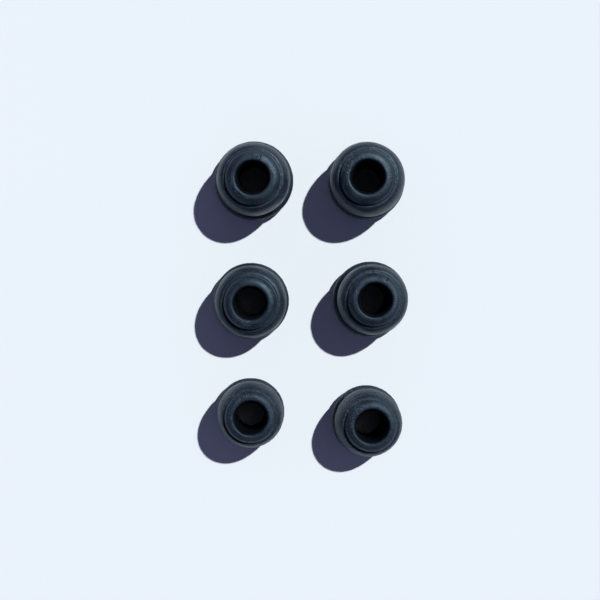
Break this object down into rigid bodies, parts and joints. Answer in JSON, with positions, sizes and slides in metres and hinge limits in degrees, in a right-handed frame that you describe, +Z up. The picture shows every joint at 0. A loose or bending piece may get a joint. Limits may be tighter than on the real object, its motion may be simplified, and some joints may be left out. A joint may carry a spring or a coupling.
{
  "type": "vibration dampener",
  "caption": "Set of round moulded rubber string dampeners, each bored through, with a string groove between two lobes and a collar with a rounded rim.",
  "frame": {"origin": "centre of the set's footprint, on the surface that the dampeners stand on", "axes": "+Z up along every bore; +Y along the two columns, from the front pair to the back pair; +X to the right"},
  "size_m": [0.0364, 0.0588, 0.0104],
  "materials": {
    "rubber": "matte moulded rubber, faintly glossy on the rims, with fine grain, scuffs and dust"
  },
  "bodies": {
    "root": {"dampener_back_left": "rubber", "dampener_back_right": "rubber", "dampener_middle_left": "rubber", "dampener_middle_right": "rubber", "dampener_front_left": "rubber", "dampener_front_right": "rubber"}
  },
  "joints": []
}
